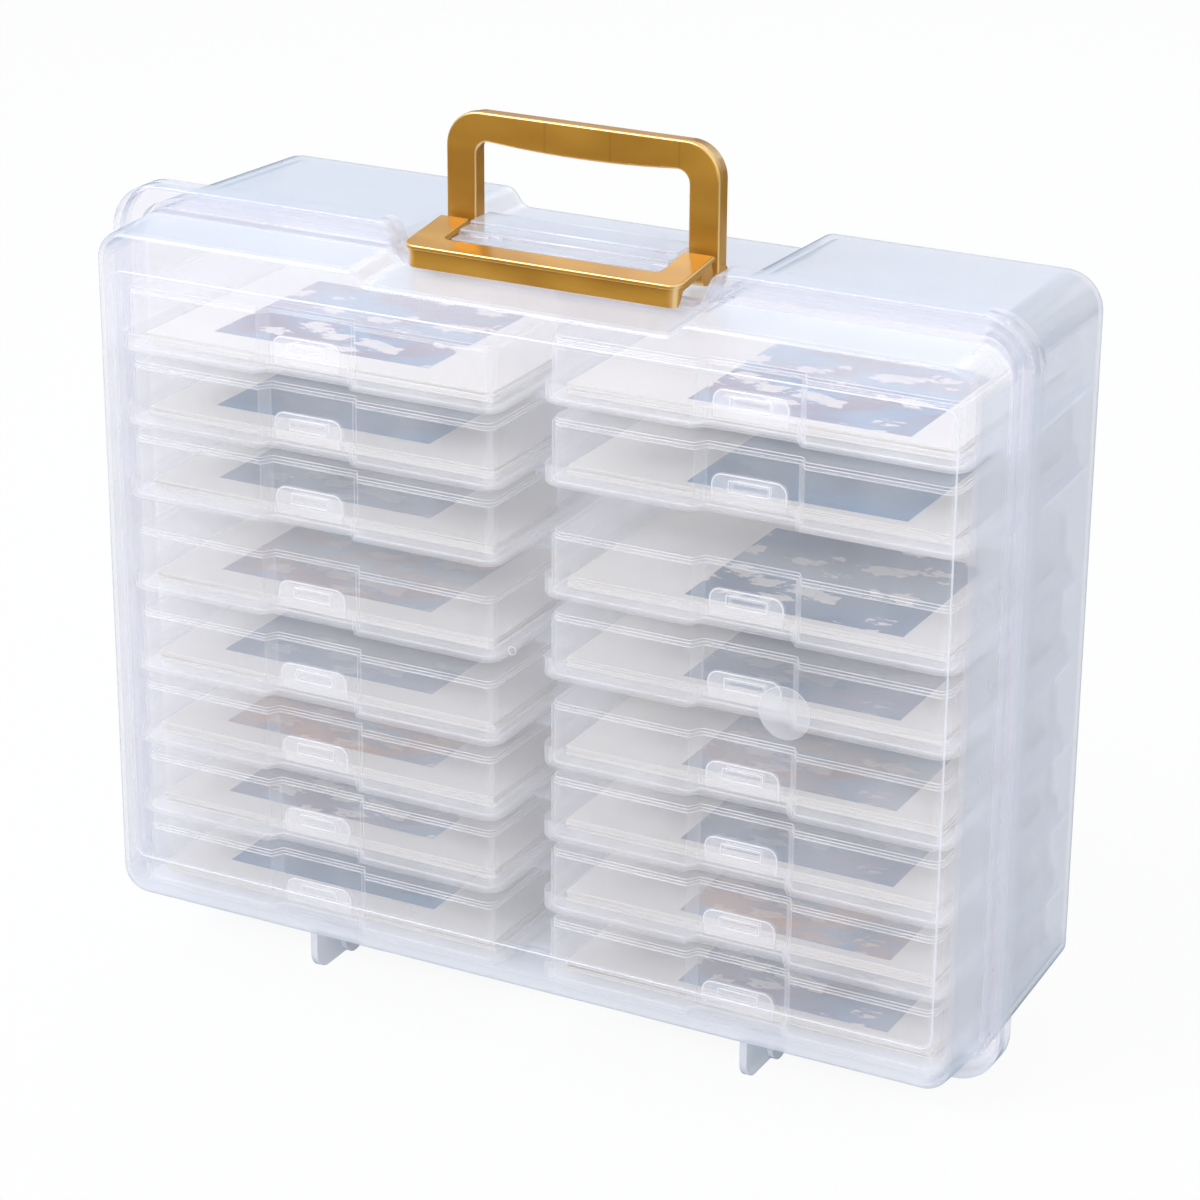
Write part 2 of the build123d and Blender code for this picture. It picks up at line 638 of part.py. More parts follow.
def inner_lid_part():
    """The shallow lid of an inner case, lying under its box."""
    with BuildPart() as lid:
        extrude(case_outline(0, **skirt_shape), amount=SKIRT_HEIGHT)
        fillet(lid.faces().sort_by(Axis.Z)[0].edges(), SKIRT_EDGE_RADIUS)
        extrude(
            case_outline(CASE_WALL, **skirt_shape, inset=CASE_WALL),
            amount=SKIRT_HEIGHT,
            mode=Mode.SUBTRACT,
        )
        # latch tab with its window
        with BuildSketch(plane_at(TAB_Y)):
            with BuildLine():
                Polyline(
                    (-TAB_HALF, SKIRT_HEIGHT - 3),
                    (TAB_HALF, SKIRT_HEIGHT - 3),
                    (TAB_HALF, TAB_TOP),
                    (-TAB_HALF, TAB_TOP),
                    close=True,
                )
            make_face()
            fillet(vertices().group_by(Axis.Y)[-1], TAB_CORNER)
            with Locations((0, sum(SLOT_Z) / 2)):
                Rectangle(2 * SLOT_HALF, SLOT_Z[1] - SLOT_Z[0], mode=Mode.SUBTRACT)
        extrude(amount=-CASE_WALL)
        # hinge knuckles behind
        for side in (-1, 1):
            with BuildSketch(Plane.YZ.offset(side * KNUCKLE_X - CASE_KNUCKLE_LENGTH / 2)):
                with Locations((CASE_DEPTH - 0.2, SKIRT_HEIGHT - CASE_KNUCKLE_RADIUS)):
                    Circle(CASE_KNUCKLE_RADIUS)
            extrude(amount=CASE_KNUCKLE_LENGTH)
    return lid.part


def inner_box_part():
    """The deep box of an inner case, bottom up, open towards its lid."""
    step_z = CASE_HEIGHT - BOX_STEP_HEIGHT
    with BuildPart() as box:
        extrude(case_outline(BOX_OPEN_Z, **box_shape), amount=step_z - BOX_OPEN_Z)
        fillet(box.faces().sort_by(Axis.Z)[-1].edges(), BOX_EDGE_RADIUS)
        extrude(
            case_outline(step_z - 0.5, **box_shape, inset=BOX_STEP_INSET),
            amount=BOX_STEP_HEIGHT + 0.5,
        )
        extrude(
            case_outline(BOX_OPEN_Z, **box_shape, inset=CASE_WALL),
            amount=step_z - CASE_WALL - BOX_OPEN_Z,
            mode=Mode.SUBTRACT,
        )
        # catch that shows through the window of the tab
        catch_height = SLOT_Z[1] - SLOT_Z[0] - 2 * CATCH_MARGIN
        with Locations((0, TAB_Y + CATCH_SETBACK, sum(SLOT_Z) / 2)):
            Box(2 * (SLOT_HALF - CATCH_MARGIN), CATCH_DEPTH, catch_height)
    return box.part


lid_master = inner_lid_part()
box_master = inner_box_part()
for side, side_name, row_tops in ((-1, "left", ROW_TOPS_LEFT), (1, "right", ROW_TOPS_RIGHT)):
    for row, row_top in enumerate(row_tops, start=1):
        place = Location((side * CASE_CENTRE_X, CASE_FRONT_Y, row_top - CASE_HEIGHT))
        save(place * lid_master, f"case_lid_{side_name}_{row}")
        save(place * box_master, f"case_box_{side_name}_{row}")
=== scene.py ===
import json
import math
import random

import bmesh
import bpy
from mathutils import Matrix, Quaternion, Vector


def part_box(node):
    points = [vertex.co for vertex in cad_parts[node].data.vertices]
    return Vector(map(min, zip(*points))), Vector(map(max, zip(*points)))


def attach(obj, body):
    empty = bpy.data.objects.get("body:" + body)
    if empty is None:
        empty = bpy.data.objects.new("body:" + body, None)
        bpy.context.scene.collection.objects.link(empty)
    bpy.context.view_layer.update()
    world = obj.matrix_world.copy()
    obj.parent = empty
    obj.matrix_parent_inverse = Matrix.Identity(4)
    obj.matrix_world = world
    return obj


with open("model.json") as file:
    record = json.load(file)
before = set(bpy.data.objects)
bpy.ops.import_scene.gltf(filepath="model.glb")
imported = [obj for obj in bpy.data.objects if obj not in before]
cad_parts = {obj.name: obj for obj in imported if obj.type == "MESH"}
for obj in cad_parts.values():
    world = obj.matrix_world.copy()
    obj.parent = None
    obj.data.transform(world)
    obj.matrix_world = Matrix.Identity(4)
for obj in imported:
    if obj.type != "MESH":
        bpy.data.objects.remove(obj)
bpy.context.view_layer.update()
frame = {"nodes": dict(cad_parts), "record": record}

# Everything is in metres, in the frame of the case: X is its width, +Y runs
# from the lid to the back, and the ground is at Z 0.
MM = 0.001
SIDES = ("left", "right")
ROWS = range(1, 9)

# --- camera -----------------------------------------------------------------
CAMERA_PLACE = Vector((613.2, -1165.7, 680.5)) * MM
CAMERA_YAW = math.radians(27.6)
CAMERA_PITCH = math.radians(21.64)
CAMERA_ROLL = math.radians(0.42)
CAMERA_LENS = 110.72
CAMERA_SENSOR = 36.0


def make_camera():
    """The camera stands to the right of the case and looks down at it."""
    forward = Vector((
        -math.sin(CAMERA_YAW) * math.cos(CAMERA_PITCH),
        math.cos(CAMERA_YAW) * math.cos(CAMERA_PITCH),
        -math.sin(CAMERA_PITCH),
    ))
    data = bpy.data.cameras.new("camera")
    data.lens = CAMERA_LENS
    data.sensor_width = CAMERA_SENSOR
    data.clip_end = 20
    camera = bpy.data.objects.new("camera", data)
    bpy.context.scene.collection.objects.link(camera)
    camera.rotation_mode = "QUATERNION"
    camera.rotation_quaternion = forward.to_track_quat("-Z", "Y") @ Quaternion((0, 0, 1), CAMERA_ROLL)
    camera.location = CAMERA_PLACE
    bpy.context.scene.camera = camera


# --- helpers for materials --------------------------------------------------
def linear(hex_colour):
    """An sRGB hex colour as linear red, green and blue, with an alpha of 1."""
    channels = [int(hex_colour[i:i + 2], 16) / 255 for i in (1, 3, 5)]
    return [c / 12.92 if c <= 0.04045 else ((c + 0.055) / 1.055) ** 2.4 for c in channels] + [1.0]


def add(tree, kind, inputs=None, **settings):
    """Add a node, give it its settings, and set or link its inputs."""
    made = tree.nodes.new(kind)
    for name, value in settings.items():
        setattr(made, name, value)
    for name, value in (inputs or {}).items():
        if isinstance(value, bpy.types.NodeSocket):
            tree.links.new(value, made.inputs[name])
        else:
            made.inputs[name].default_value = value
    return made


def empty_material(name):
    """A material with an empty tree and its output node."""
    material = bpy.data.materials.new(name)
    material.use_nodes = True
    material.node_tree.nodes.clear()
    return material, material.node_tree, material.node_tree.nodes.new("ShaderNodeOutputMaterial")


# --- finishes ---------------------------------------------------------------
# the longest part of a normal, on a flat face and well into a rounded edge
STRAIGHT_FACE = 0.97
ROUND_EDGE = 0.75


def off_axis(tree, normal, most):
    """A mask of the rounded edges: 0 where the surface points along an axis, and up to this value
    between two."""
    lengths = add(tree, "ShaderNodeVectorMath", {0: normal}, operation="ABSOLUTE").outputs[0]
    parts = add(tree, "ShaderNodeSeparateXYZ", {"Vector": lengths}).outputs
    longest = add(tree, "ShaderNodeMath", {0: parts[0], 1: parts[1]}, operation="MAXIMUM").outputs[0]
    longest = add(tree, "ShaderNodeMath", {0: longest, 1: parts[2]}, operation="MAXIMUM").outputs[0]
    return add(tree, "ShaderNodeMapRange", {
        "Value": longest, "From Min": STRAIGHT_FACE, "From Max": ROUND_EDGE, "To Min": 0.0, "To Max": most,
    }).outputs[0]


# slow waves of a cooled moulding, 25 mm apart
MOULD_WAVES = 1 / (25 * MM)
WAVE_DEPTH = 0.6 * MM
POLISHED_MOULD = 0.16
# above the 1.49 of polypropylene, so that thin walls still glint
PLASTIC_IOR = 1.7
PLASTIC_SHINE = 0.9
# what a wall lets through of the light of a lamp
WALL_PASSES = (0.985, 0.985, 0.985, 1)
# the shell thickens towards its foot between these heights
THICK_FROM = 34.0 * MM
THICK_AT = 13.0 * MM


def clear_polypropylene(
        name, face, edge, tint, haze, edge_haze, painted_radius_highlight, foot_haze=0.0, onset=3.0):
    """Thin natural polypropylene from a polished mould: clear with a faint tint face on, milky where the
    wall is seen along it (the sooner, the lower the onset), with a painted highlight on its radii, which
    are drawn whiter and more opaque, and milkier towards its thick foot. Lamps reach what is behind it."""
    material, tree, output = empty_material(name)
    coordinates = add(tree, "ShaderNodeTexCoord").outputs
    waves = add(tree, "ShaderNodeTexNoise", {
        "Vector": coordinates["Object"], "Scale": MOULD_WAVES, "Detail": 1.0, "Roughness": 0.4,
    }).outputs["Fac"]
    facing = add(tree, "ShaderNodeLayerWeight", {"Blend": 0.5}).outputs["Facing"]
    along = add(tree, "ShaderNodeMath", {0: facing, 1: onset}, operation="POWER").outputs[0]
    # painted highlight on the rounded edges: there the wall is drawn whiter and more opaque
    radius = off_axis(tree, coordinates["Normal"], painted_radius_highlight)
    height = add(tree, "ShaderNodeSeparateXYZ", {"Vector": coordinates["Object"]}).outputs[2]
    foot = add(tree, "ShaderNodeMapRange", {
        "Value": height, "From Min": THICK_FROM, "From Max": THICK_AT, "To Max": foot_haze,
    }).outputs[0]
    cloud = add(tree, "ShaderNodeMapRange", {
        "Value": waves, "From Min": 0.3, "From Max": 0.7, "To Min": haze * 0.8, "To Max": haze * 1.2,
    }).outputs[0]
    alpha = add(tree, "ShaderNodeMix", {0: along, 2: cloud, 3: edge_haze}, data_type="FLOAT").outputs[0]
    alpha = add(tree, "ShaderNodeMath", {0: alpha, 1: foot}, operation="ADD").outputs[0]
    alpha = add(tree, "ShaderNodeMath", {0: alpha, 1: radius}, operation="ADD", use_clamp=True).outputs[0]
    colour = add(tree, "ShaderNodeMix", {
        0: along, 6: linear(face), 7: linear(edge),
    }, data_type="RGBA").outputs[2]
    # the painted highlight turns the radii white
    colour = add(tree, "ShaderNodeMix", {
        0: radius, 6: colour, 7: linear("#FFFFFF"),
    }, data_type="RGBA").outputs[2]
    bump = add(tree, "ShaderNodeBump", {"Height": waves, "Strength": 0.2, "Distance": WAVE_DEPTH}).outputs[0]
    milky = add(tree, "ShaderNodeBsdfPrincipled", {
        "Base Color": colour, "Roughness": POLISHED_MOULD, "IOR": PLASTIC_IOR,
        "Specular IOR Level": PLASTIC_SHINE, "Normal": bump,
    })
    clear = add(tree, "ShaderNodeBsdfTransparent", {"Color": linear(tint)})
    plastic = add(tree, "ShaderNodeMixShader", {0: alpha, 1: clear.outputs[0], 2: milky.outputs[0]})
    passing = add(tree, "ShaderNodeBsdfTransparent", {"Color": WALL_PASSES})
    lamp_ray = add(tree, "ShaderNodeLightPath").outputs["Is Shadow Ray"]
    mixed = add(tree, "ShaderNodeMixShader", {0: lamp_ray, 1: plastic.outputs[0], 2: passing.outputs[0]})
    tree.links.new(mixed.outputs[0], output.inputs["Surface"])
    return material


# where the melt met in the bar of the handle, and the height above which the bar is
HANDLE_SEAMS = (-15 * MM, 12 * MM, 40 * MM)
SEAM_HALF_WIDTH = 0.6 * MM
HANDLE_BAR_FROM = 325 * MM
SEAM_DEPTH = 0.3
FLAKE_SIZE = 0.4 * MM
# clouds of pigment, longer along the bar
PIGMENT_FLOW = (30.0, 70.0, 70.0)
GOLD_DEEP = "#BA8532"
GOLD_PALE = "#CF9A3E"
GOLD_SEAM = "#7C5520"
# a pale gold painted on the rounded edges as a highlight, and how much of it is mixed in
GOLD_PAINTED_HIGHLIGHT = "#FFE3A6"
GOLD_HIGHLIGHT_SHARE = 0.75


def gold_plastic(name):
    """ABS with gold flake pigment: warm, half metallic, with a painted highlight on its rounded edges, and
    with faint lines across the handle's bar where the melt met."""
    material, tree, output = empty_material(name)
    coordinates = add(tree, "ShaderNodeTexCoord").outputs
    place = coordinates["Object"]
    stretched = add(tree, "ShaderNodeMapping", {"Vector": place, "Scale": PIGMENT_FLOW}).outputs[0]
    flow = add(tree, "ShaderNodeTexNoise", {
        "Vector": stretched, "Scale": 1.0, "Detail": 1.0, "Roughness": 0.4, "Distortion": 0.4,
    }).outputs["Fac"]
    # flakes, far finer on the real part, drawn as coarse as this to show
    flakes = add(tree, "ShaderNodeTexVoronoi", {"Vector": place, "Scale": 1 / FLAKE_SIZE}).outputs["Color"]
    sparkle = add(tree, "ShaderNodeSeparateColor", {"Color": flakes}).outputs[0]
    axes = add(tree, "ShaderNodeSeparateXYZ", {"Vector": place}).outputs
    seams = 0.0
    for x in HANDLE_SEAMS:
        offset = add(tree, "ShaderNodeMath", {0: axes[0], 1: x}, operation="SUBTRACT").outputs[0]
        offset = add(tree, "ShaderNodeMath", {0: offset}, operation="ABSOLUTE").outputs[0]
        line = add(tree, "ShaderNodeMapRange", {
            "Value": offset, "From Min": 0.0, "From Max": SEAM_HALF_WIDTH,
            "To Min": SEAM_DEPTH, "To Max": 0.0,
        }).outputs[0]
        seams = add(tree, "ShaderNodeMath", {0: seams, 1: line}, operation="MAXIMUM").outputs[0]
    bar = add(tree, "ShaderNodeMath", {0: axes[2], 1: HANDLE_BAR_FROM}, operation="GREATER_THAN").outputs[0]
    seams = add(tree, "ShaderNodeMath", {0: seams, 1: bar}, operation="MULTIPLY").outputs[0]
    tone = add(tree, "ShaderNodeMapRange", {"Value": flow, "From Min": 0.3, "From Max": 0.75}).outputs[0]
    colour = add(tree, "ShaderNodeMix", {
        0: tone, 6: linear(GOLD_DEEP), 7: linear(GOLD_PALE),
    }, data_type="RGBA")
    colour = add(tree, "ShaderNodeMix", {
        0: seams, 6: colour.outputs[2], 7: linear(GOLD_SEAM),
    }, data_type="RGBA")
    # painted highlight: the rounded edges are drawn in a pale gold
    crest = off_axis(tree, coordinates["Normal"], GOLD_HIGHLIGHT_SHARE)
    colour = add(tree, "ShaderNodeMix", {
        0: crest, 6: colour.outputs[2], 7: linear(GOLD_PAINTED_HIGHLIGHT),
    }, data_type="RGBA")
    gloss = add(tree, "ShaderNodeMapRange", {"Value": sparkle, "To Min": 0.2, "To Max": 0.22}).outputs[0]
    bump = add(tree, "ShaderNodeBump", {"Height": flow, "Strength": 0.1, "Distance": 0.2 * MM}).outputs[0]
    plastic = add(tree, "ShaderNodeBsdfPrincipled", {
        "Base Color": colour.outputs[2], "Metallic": 0.4, "Roughness": gloss, "Normal": bump,
        "Specular IOR Level": 0.25,
    })
    tree.links.new(plastic.outputs[0], output.inputs["Surface"])
    return material


# paper fibres, drawn at 0.83 mm, and the edges of single sheets, which the wave
# texture draws every 0.35 mm at this scale
CARD_FIBRES = 1200.0
SHEET_EDGES = 900.0
CARD_WHITE = "#F8F5F0"


def white_card(name):
    """Uncoated white card: matt, a little warm, with the fibre mottle of paper and fine lines between
    the sheets."""
    material, tree, output = empty_material(name)
    place = add(tree, "ShaderNodeTexCoord").outputs["Object"]
    fibres = add(tree, "ShaderNodeTexNoise", {
        "Vector": place, "Scale": CARD_FIBRES, "Detail": 4.0,
    }).outputs["Fac"]
    sheets = add(tree, "ShaderNodeTexWave", {
        "Vector": place, "Scale": SHEET_EDGES,
    }, bands_direction="Z").outputs["Fac"]
    tone = add(tree, "ShaderNodeMix", {
        0: fibres, 6: linear("#EFEAE2"), 7: linear("#FAF8F4"),
    }, data_type="RGBA")
    shade = add(tree, "ShaderNodeMix", {
        0: sheets, 6: linear("#E4DFD6"), 7: tone.outputs[2],
    }, data_type="RGBA").outputs[2]
    bump = add(tree, "ShaderNodeBump", {"Height": fibres, "Strength": 0.1, "Distance": 0.1 * MM}).outputs[0]
    paper = add(tree, "ShaderNodeBsdfPrincipled", {"Base Color": shade, "Roughness": 0.75, "Normal": bump})
    tree.links.new(paper.outputs[0], output.inputs["Surface"])
    return material


# scales of a print, in cycles over a card: clouds of ink, ragged edges and blots
INK_CLOUDS = 4.5
RAGGED_EDGES = 30.0
BLOTS = 7.5
RAGGED_SHARE = 0.12
# how far a blot reaches from its middle, and where it has faded out
BLOT_CORE = 0.30
BLOT_RIM = 0.36


def printed_card(name, ground, second, petals, blotting, fading, field):
    """Coated card with one printed field: two soft inks and pale ragged blots, inside a white margin."""
    material, tree, output = empty_material(name)
    sheet = add(tree, "ShaderNodeUVMap", uv_map=CARD_UV).outputs["UV"]
    axes = add(tree, "ShaderNodeSeparateXYZ", {"Vector": sheet}).outputs
    inside = 1.0
    for axis, limit, rule in (
        (0, field[0], "GREATER_THAN"), (0, field[1], "LESS_THAN"),
        (1, field[2], "GREATER_THAN"), (1, field[3], "LESS_THAN"),
    ):
        past = add(tree, "ShaderNodeMath", {0: axes[axis], 1: limit}, operation=rule).outputs[0]
        inside = add(tree, "ShaderNodeMath", {0: inside, 1: past}, operation="MULTIPLY").outputs[0]
    clouds = add(tree, "ShaderNodeTexNoise", {
        "Vector": sheet, "Scale": INK_CLOUDS, "Detail": 4.0, "Distortion": 0.8,
    })
    ink = add(tree, "ShaderNodeMapRange", {
        "Value": clouds.outputs["Fac"], "From Min": 0.4, "From Max": 0.62,
    })
    inks = add(tree, "ShaderNodeMix", {
        0: ink.outputs[0], 6: linear(ground), 7: linear(second),
    }, data_type="RGBA").outputs[2]
    # pale blots with ragged edges, about 20 mm apart
    ragged = add(tree, "ShaderNodeTexNoise", {
        "Vector": sheet, "Scale": RAGGED_EDGES, "Detail": 3.0,
    }).outputs["Color"]
    shifted = add(tree, "ShaderNodeMix", {
        0: RAGGED_SHARE, 6: sheet, 7: ragged,
    }, data_type="RGBA", blend_type="ADD").outputs[2]
    spots = add(tree, "ShaderNodeTexVoronoi", {
        "Vector": shifted, "Scale": BLOTS, "Randomness": 1.0,
    }).outputs["Distance"]
    blot = add(tree, "ShaderNodeMapRange", {
        "Value": spots, "From Min": BLOT_CORE, "From Max": BLOT_RIM, "To Min": blotting, "To Max": 0.0,
    }).outputs[0]
    inks = add(tree, "ShaderNodeMix", {0: blot, 6: inks, 7: linear(petals)}, data_type="RGBA").outputs[2]
    inks = add(tree, "ShaderNodeMix", {
        0: fading, 6: inks, 7: linear(CARD_WHITE),
    }, data_type="RGBA").outputs[2]
    colour = add(tree, "ShaderNodeMix", {
        0: inside, 6: linear(CARD_WHITE), 7: inks,
    }, data_type="RGBA").outputs[2]
    paper = add(tree, "ShaderNodeBsdfPrincipled", {"Base Color": colour, "Roughness": 0.45})
    tree.links.new(paper.outputs[0], output.inputs["Surface"])
    return material


# --- pieces -----------------------------------------------------------------
CARD_UV = "card"
CARD_WIDTH = 152 * MM
CARD_DEPTH = 102 * MM
# each card of the stack stands for a few sheets, with a gap to the next one
CARD_THICKNESS = 0.85 * MM
CARD_SHARE = 0.92
CARDS_IN_STACK = 5
CARD_SLIP = 0.7 * MM
CARD_TURN = math.radians(0.4)
CARD_BEVEL = 0.12 * MM
# from the lowest and foremost points of a case's lid
CASE_FLOOR = 1.35 * MM
CARD_SETBACK = 10.6 * MM


def finish_piece(name, shape, body, slot, *materials):
    """Turn a finished shape into a piece that rides on a body."""
    mesh = bpy.data.meshes.new(name)
    shape.to_mesh(mesh)
    shape.free()
    for material in materials:
        mesh.materials.append(material)
    piece = bpy.data.objects.new(name, mesh)
    bpy.context.scene.collection.objects.link(piece)
    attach(piece, body)
    return piece


def card_stack(side, row, print_material):
    """A short stack of cards on the floor of an inner case, a little out of line, print up."""
    low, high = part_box(f"case_lid_{side}_{row}")
    draw = random.Random(f"{side} {row}")
    middle = Vector(((low.x + high.x) / 2, low.y + CARD_SETBACK + CARD_DEPTH / 2, low.z + CASE_FLOOR))
    shape = bmesh.new()
    layer = shape.loops.layers.uv.new(CARD_UV)
    for number in range(CARDS_IN_STACK):
        place = middle + Vector((
            draw.uniform(-CARD_SLIP, CARD_SLIP),
            draw.uniform(0, CARD_SLIP),
            (number + 0.5) * CARD_THICKNESS,
        ))
        turn = Matrix.Rotation(draw.uniform(-CARD_TURN, CARD_TURN), 4, "Z")
        size = Matrix.Diagonal((CARD_WIDTH, CARD_DEPTH, CARD_THICKNESS * CARD_SHARE, 1))
        made = bmesh.ops.create_cube(shape, size=1, matrix=Matrix.Translation(place) @ turn @ size)
        edges = {edge for vert in made["verts"] for edge in vert.link_edges}
        bmesh.ops.bevel(
            shape, geom=list(edges), offset=CARD_BEVEL, affect="EDGES", segments=1, profile=0.5, material=-1,
        )
    stack_top = max(face.calc_center_median().z for face in shape.faces)
    for face in shape.faces:
        printed = face.calc_center_median().z > stack_top - CARD_BEVEL / 2
        face.material_index = int(printed)
        for loop in face.loops:
            across = (loop.vert.co.x - middle.x) / CARD_WIDTH + 0.5
            along = (loop.vert.co.y - middle.y) / CARD_DEPTH + 0.5
            loop[layer].uv = (across, along)
    return finish_piece(
        f"card_stack_{side}_{row}", shape, f"case_{side}_{row}", "card", card_white, print_material)


EDGE_RADIUS = 0.3 * MM
EDGE_STEPS = 2
SHARP_EDGE = math.radians(32)
SAME_POINT = 0.002 * MM
SAME_PLANE = math.radians(0.5)


def soften_edges(node, radius, edge_highlight_material):
    """Round off the sharp edges of a moulded part, as its tool does, and give the rounds a painted highlight
    material of their own, where one is given.
    """
    weld = node.modifiers.new("join triangles", "WELD")
    weld.merge_threshold = SAME_POINT
    flat = node.modifiers.new("flat faces", "DECIMATE")
    flat.decimate_type = "DISSOLVE"
    flat.angle_limit = SAME_PLANE
    bevel = node.modifiers.new("tool radius", "BEVEL")
    bevel.width = radius
    bevel.segments = EDGE_STEPS
    bevel.limit_method = "ANGLE"
    bevel.angle_limit = SHARP_EDGE
    bevel.harden_normals = True
    bevel.use_clamp_overlap = True
    if edge_highlight_material:
        node.data.materials.append(edge_highlight_material)
        bevel.material = len(node.data.materials) - 1


SEAL_PLACE = Vector((111.2, -62.6, 157.4)) * MM
SEAL_RADIUS = 10.2 * MM
SEAL_THICKNESS = 0.3 * MM
SEAL_BEVEL = SEAL_THICKNESS * 0.6
SEAL_SIDES = 64
GATE_PLACE = Vector((0.0, -62.6, 159.5)) * MM
GATE_RADIUS = 1.6 * MM
GATE_BEAD = 0.18 * MM
GATE_BEAD_SIDES = 12
GATE_RISE = 0.1 * MM
GATE_STEPS = 32
FACING_FRONT = Matrix.Rotation(math.radians(90), 4, "X")


def round_seal():
    """A round clear sticker on the lid, with a softened edge."""
    shape = bmesh.new()
    bmesh.ops.create_cone(
        shape, segments=SEAL_SIDES, radius1=SEAL_RADIUS, radius2=SEAL_RADIUS, depth=SEAL_THICKNESS,
        cap_ends=True,
        matrix=Matrix.Translation(SEAL_PLACE - Vector((0, SEAL_THICKNESS / 2, 0))) @ FACING_FRONT,
    )
    outline = [e for e in shape.edges if all(v.co.y < SEAL_PLACE.y - SEAL_THICKNESS / 2 for v in e.verts)]
    bmesh.ops.bevel(
        shape, geom=outline, offset=SEAL_BEVEL, affect="EDGES", segments=3, profile=0.5, material=-1,
    )
    return finish_piece("round_seal", shape, "lid", "clear_shell", seal_vinyl)


# how round a bead and a corner are drawn
BEAD_SIDES = 8
CORNER_STEPS = 6


def rounded_path(corners, radii, y):
    """Points of an upright outline at this Y, with rounded corners, and the way each point faces outward.
    The corners are given anticlockwise, seen from the front."""
    path = []
    for number, ((x, z), radius) in enumerate(zip(corners, radii)):
        before = Vector(corners[number - 1])
        after = Vector(corners[(number + 1) % len(corners)])
        here = Vector((x, z))
        into = (here - before).normalized()
        out_of = (after - here).normalized()
        centre = here + (out_of - into) * radius
        start = Vector((into.y, -into.x))
        for step in range(CORNER_STEPS + 1):
            turn = math.radians(90) * step / CORNER_STEPS
            facing = start * math.cos(turn) + into * math.sin(turn)
            place = centre + facing * radius
            path.append((Vector((place.x, y, place.y)), Vector((facing.x, 0, facing.y))))
    return path


def add_bead(shape, path, radius, closed=True):
    """Add a round bead of this radius that follows a path of points in an upright plane."""
    depth = Vector((0, 1, 0))
    rings = []
    for point, outward in path:
        turn = Matrix((outward, depth, outward.cross(depth))).transposed().to_4x4()
        made = bmesh.ops.create_circle(
            shape, segments=BEAD_SIDES, radius=radius, matrix=Matrix.Translation(point) @ turn,
        )
        rings.append(list({edge for vert in made["verts"] for edge in vert.link_edges}))
    for number in range(len(rings) if closed else len(rings) - 1):
        made = bmesh.ops.bridge_loops(shape, edges=rings[number] + rings[(number + 1) % len(rings)])
        for face in made["faces"]:
            face.smooth = True
    if not closed:
        for ring in (rings[0], rings[-1]):
            bmesh.ops.edgeloop_fill(shape, edges=ring)
    bmesh.ops.recalc_face_normals(shape, faces=shape.faces)


def add_plate(shape, outline, thickness):
    """Add a thin upright plate with this outline, its middle on the outline's plane."""
    front = Vector((0, -thickness / 2, 0))
    start = shape.faces.new([shape.verts.new(point + front) for point in outline])
    made = bmesh.ops.extrude_face_region(shape, geom=[start], use_keep_orig=True)["geom"]
    moved = [item for item in made if isinstance(item, bmesh.types.BMVert)]
    bmesh.ops.translate(shape, verts=moved, vec=Vector((0, thickness, 0)))
    bmesh.ops.recalc_face_normals(shape, faces=shape.faces)
    for face in [start] + [item for item in made if isinstance(item, bmesh.types.BMFace)]:
        face.material_index = 1


BORDER_HALF = 173.4 * MM
BORDER_HEIGHTS = (37.0 * MM, 281.0 * MM)
BORDER_CORNER = 5.0 * MM
BORDER_FRONT = -62.6 * MM
BORDER_BEAD = 0.4 * MM


def border_bead():
    """The crest of the raised border line on the lid: a thin bead, half sunk in it, with a painted
    highlight.
    """
    low, high = BORDER_HEIGHTS
    half = BORDER_HALF - BORDER_BEAD
    corners = ((-half, low), (half, low), (half, high), (-half, high))
    shape = bmesh.new()
    add_bead(shape, rounded_path(corners, [BORDER_CORNER] * 4, BORDER_FRONT), BORDER_BEAD)
    return finish_piece("lid_border_bead", shape, "lid", "clear_shell", raised_line_highlight)


# heights and setback from the lowest and foremost points of a case's lid
TAB_HALF = 14.6 * MM
TAB_HEIGHTS = (5.0 * MM, 15.4 * MM)
TAB_CORNER = 4.1 * MM
TAB_SETBACK = 4.25 * MM
WINDOW_HALF = 8.1 * MM
WINDOW_HEIGHTS = (9.1 * MM, 13.3 * MM)
WINDOW_CORNER = 0.5 * MM
TAB_BEAD = 0.3 * MM
TAB_PLATE = 0.2 * MM
WINDOW_BEAD = 0.24 * MM


def tab_beads(side, row):
    """The thickened edge of the tab of an inner case, and of the window in it, with a painted highlight on
    the beads.
    """
    low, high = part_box(f"case_lid_{side}_{row}")
    middle = (low.x + high.x) / 2
    y = low.y + TAB_SETBACK
    shape = bmesh.new()
    bottom, top = (low.z + height for height in TAB_HEIGHTS)
    corners = (
        (middle - TAB_HALF, bottom), (middle + TAB_HALF, bottom),
        (middle + TAB_HALF, top), (middle - TAB_HALF, top),
    )
    path = rounded_path(corners, (0, 0, TAB_CORNER, TAB_CORNER), y)
    around_top = path[CORNER_STEPS + 1:] + path[:1]
    add_bead(shape, around_top, TAB_BEAD, closed=False)
    add_plate(shape, [point for point, facing in around_top], TAB_PLATE)
    bottom, top = (low.z + height for height in WINDOW_HEIGHTS)
    corners = (
        (middle - WINDOW_HALF, bottom), (middle + WINDOW_HALF, bottom),
        (middle + WINDOW_HALF, top), (middle - WINDOW_HALF, top),
    )
    add_bead(shape, rounded_path(corners, [WINDOW_CORNER] * 4, y), WINDOW_BEAD)
    return finish_piece(
        f"tab_beads_{side}_{row}", shape, f"case_{side}_{row}", "clear_case", case_edge_highlight, tab_plastic)


PLATFORM_HALF = 42.6 * MM
